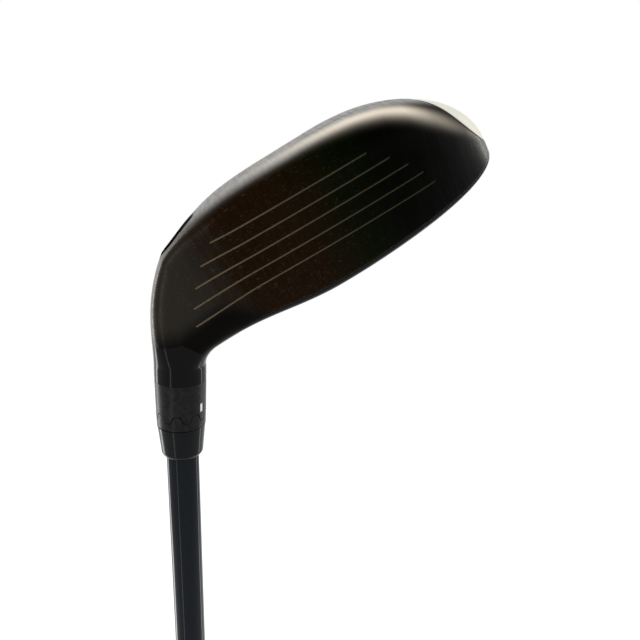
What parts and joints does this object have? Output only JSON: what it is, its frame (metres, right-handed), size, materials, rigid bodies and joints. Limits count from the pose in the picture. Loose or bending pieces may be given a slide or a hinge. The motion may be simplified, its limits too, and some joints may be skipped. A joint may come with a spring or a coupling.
{
  "type": "hybrid golf club",
  "caption": "Hybrid golf club with a hollow steel head, gloss crown, adjustable toothed hosel sleeve, tapered shaft and rubber grip.",
  "frame": {"origin": "centre of the butt end of the grip", "axes": "+Z along the shaft from the grip to the head, face of the club towards -Y, toe towards +X; the club stands on its grip with the head up"},
  "size_m": [0.1054, 0.0588, 1.0317],
  "materials": {
    "head_body": "satin pale skirt and sole, gloss black neck",
    "hosel_tube": "raw machined",
    "weight_cup": "raw machined",
    "face_cup": "satin brushed with fine scratches",
    "crown": "gloss black paint",
    "weight_pad": "as cast",
    "index_ring": "dark satin anodised",
    "bolt_washer": "bright",
    "hosel_bolt": "dark zinc",
    "sole_weight": "turned",
    "weight_screw": "dark zinc",
    "sleeve": "dark satin anodised",
    "ferrule": "gloss black",
    "shaft": "gloss black lacquer on graphite",
    "tip_plug": "cork brown",
    "grip_tape": "masking tape",
    "grip": "matte black rubber",
    "grip_cap": "matte black rubber"
  },
  "bodies": {
    "shaft_side": {"sleeve": "sleeve", "ferrule": "ferrule", "shaft": "shaft", "tip_plug": "tip_plug", "grip_tape": "grip_tape", "grip": "grip", "grip_cap": "grip_cap"},
    "head": {"head_body": "head_body", "hosel_tube": "hosel_tube", "weight_cup": "weight_cup", "face_cup": "face_cup", "crown": "crown", "weight_pad": "weight_pad", "index_ring": "index_ring"},
    "bolt_seat": {"bolt_washer": "bolt_washer"},
    "bolt": {"hosel_bolt": "hosel_bolt"},
    "weight": {"sole_weight": "sole_weight"},
    "weight_bolt": {"weight_screw": "weight_screw"}
  },
  "joints": [
    {"name": "head_lift", "type": "slide", "parent": "shaft_side", "child": "head", "axis": [0.0175, 0, 0.9998], "range_m": [0, 0.045]},
    {"name": "bolt_travel", "type": "slide", "parent": "head", "child": "bolt_seat", "axis": [0.0175, 0, 0.9998], "range_m": [0, 0.007]},
    {"name": "bolt_turn", "type": "hinge", "parent": "bolt_seat", "child": "bolt", "pos_m": [0, 0, 0.9404], "axis": [0.0175, 0, 0.9998], "range_deg": [0, 3162]},
    {"name": "weight_travel", "type": "slide", "parent": "head", "child": "weight", "axis": [-0.4924, 0.1736, 0.8529], "range_m": [0, 0.0065]},
    {"name": "weight_turn", "type": "hinge", "parent": "weight", "child": "weight_bolt", "pos_m": [0.03404, 0.024, 1.01792], "axis": [-0.4924, 0.1736, 0.8529], "range_deg": [0, 2939]}
  ],
  "couplings": [
    {"joint": "bolt_turn", "follows": "bolt_travel", "rad_per_m": 7854},
    {"joint": "weight_turn", "follows": "weight_travel", "rad_per_m": 7854}
  ]
}
